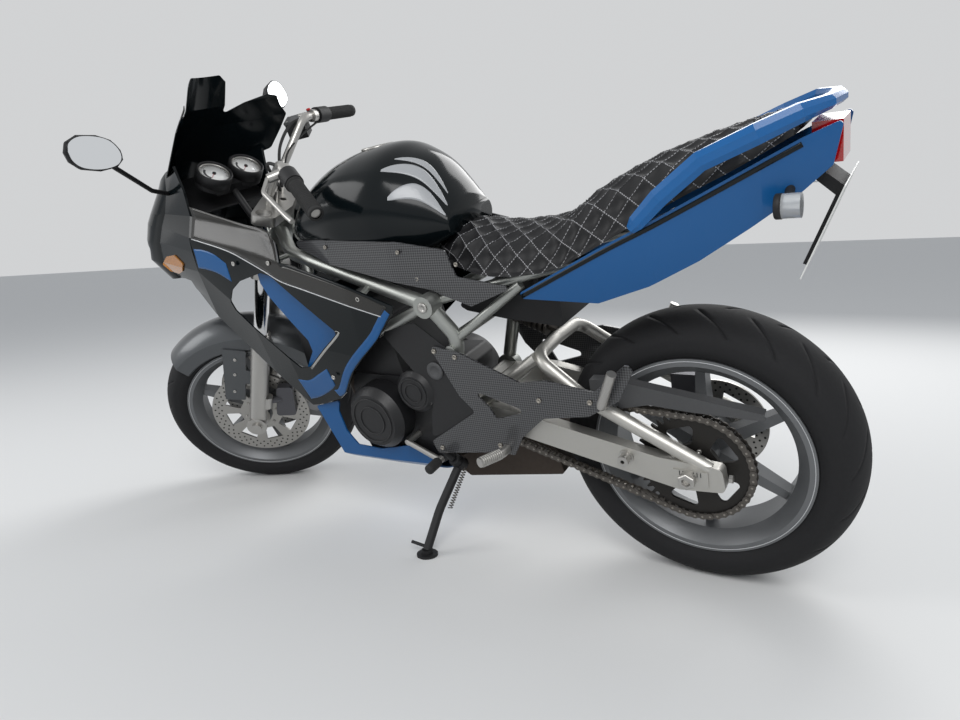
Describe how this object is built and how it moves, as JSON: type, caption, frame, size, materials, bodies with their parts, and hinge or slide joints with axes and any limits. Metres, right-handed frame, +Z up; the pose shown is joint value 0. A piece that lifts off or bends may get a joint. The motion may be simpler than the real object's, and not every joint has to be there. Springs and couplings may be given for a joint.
{
  "type": "sport motorcycle",
  "caption": "Half-faired sport motorcycle with cast wheels, chain drive, tubular frame, twin front discs and under-engine silencer, leaning on its side stand.",
  "frame": {"origin": "centre of the parked motorcycle's bounding box, on the floor", "axes": "+X forward, +Y to the rider's left, +Z up; the motorcycle leans to +Y on its side stand with the bars turned to the left stop"},
  "size_m": [1.9834, 0.8586, 1.2908],
  "materials": {
    "silver_frame": "satin",
    "black_engine": "satin",
    "exhaust_dark": "matt",
    "blue_gloss": "gloss",
    "black_gloss": "gloss",
    "smoke_screen": "gloss",
    "carbon": "gloss woven",
    "silver_fender": "gloss",
    "seat_cover": "quilted",
    "alloy": "satin",
    "fork_chrome": "polished",
    "wheel_grey": "satin",
    "tyre_rubber": "worn",
    "disc_steel": "ground",
    "caliper_grey": "satin",
    "chain_steel": "oiled",
    "black_plastic": "satin",
    "grip_rubber": "matt",
    "lever_alloy": "satin",
    "stand_steel": "worn",
    "rail_blue": "gloss",
    "red_lens": "gloss",
    "clear_lens": "gloss",
    "amber_lens": "gloss",
    "plate_blank": "satin"
  },
  "bodies": {
    "chassis": {"belly_cowl": "blue_gloss", "brake_pedal": "alloy", "chain_guard": "black_plastic", "cockpit_surround": "black_plastic", "drive_chain": "chain_steel", "engine_block": "black_engine", "engine_covers": "black_engine", "exhaust_headers": "exhaust_dark", "fairing_liners": "blue_gloss", "front_indicators": "amber_lens", "fuel_cap": "alloy", "fuel_tank": "black_gloss", "gear_lever": "alloy", "grab_rails": "rail_blue", "headlight": "clear_lens", "instrument_cluster": "black_plastic", "licence_plate": "plate_blank", "main_frame": "silver_frame", "mirrors": "black_plastic", "nose_fairing": "black_gloss", "paddock_bobbins": "alloy", "passenger_pegs": "alloy", "peg_brackets": "carbon", "pivot_bolt": "chain_steel", "radiator": "black_engine", "rear_axle": "chain_steel", "rear_caliper": "caliper_grey", "rear_indicators": "clear_lens", "rear_mudguard": "black_plastic", "rear_shock": "chain_steel", "rider_pegs": "alloy", "seat": "seat_cover", "side_covers": "carbon", "side_fairings": "black_gloss", "silencer": "exhaust_dark", "sprocket_cover": "black_engine", "stand_bracket": "stand_steel", "subframe": "silver_frame", "swingarm": "alloy", "tail_light": "red_lens", "tail_panels": "blue_gloss", "windscreen": "smoke_screen"},
    "steering": {"triple_clamps": "alloy", "fork_tubes": "fork_chrome", "fork_sliders": "alloy", "handlebar": "alloy", "hand_grips": "grip_rubber", "bar_controls": "black_plastic", "hand_levers": "lever_alloy", "front_fender": "silver_fender", "front_calipers": "caliper_grey", "front_axle": "chain_steel"},
    "front_wheel": {"front_tyre": "tyre_rubber", "front_rim": "wheel_grey", "front_discs": "disc_steel"},
    "rear_wheel": {"rear_tyre": "tyre_rubber", "rear_rim": "wheel_grey", "rear_disc": "disc_steel", "rear_sprocket": "chain_steel"},
    "stand": {"side_stand": "stand_steel"}
  },
  "joints": [
    {"name": "steering_turn", "type": "hinge", "parent": "chassis", "child": "steering", "pos_m": [0.47089, -0.07746, 0.7625], "axis": [-0.4169, 0.2193, 0.8821], "range_deg": [-70, 0]},
    {"name": "front_wheel_spin", "type": "hinge", "parent": "steering", "child": "front_wheel", "pos_m": [0.7251, -0.17948, 0.27886], "axis": [-0.5226, 0.7362, -0.43], "continuous": true},
    {"name": "rear_wheel_spin", "type": "hinge", "parent": "chassis", "child": "rear_wheel", "pos_m": [-0.67972, -0.1931, 0.30616], "axis": [-0.0016, 0.9703, -0.2419], "continuous": true},
    {"name": "side_stand_fold", "type": "hinge", "parent": "chassis", "child": "stand", "pos_m": [-0.09533, -0.09457, 0.20978], "axis": [0.0937, 0.8212, 0.563], "range_deg": [0, 92]}
  ]
}
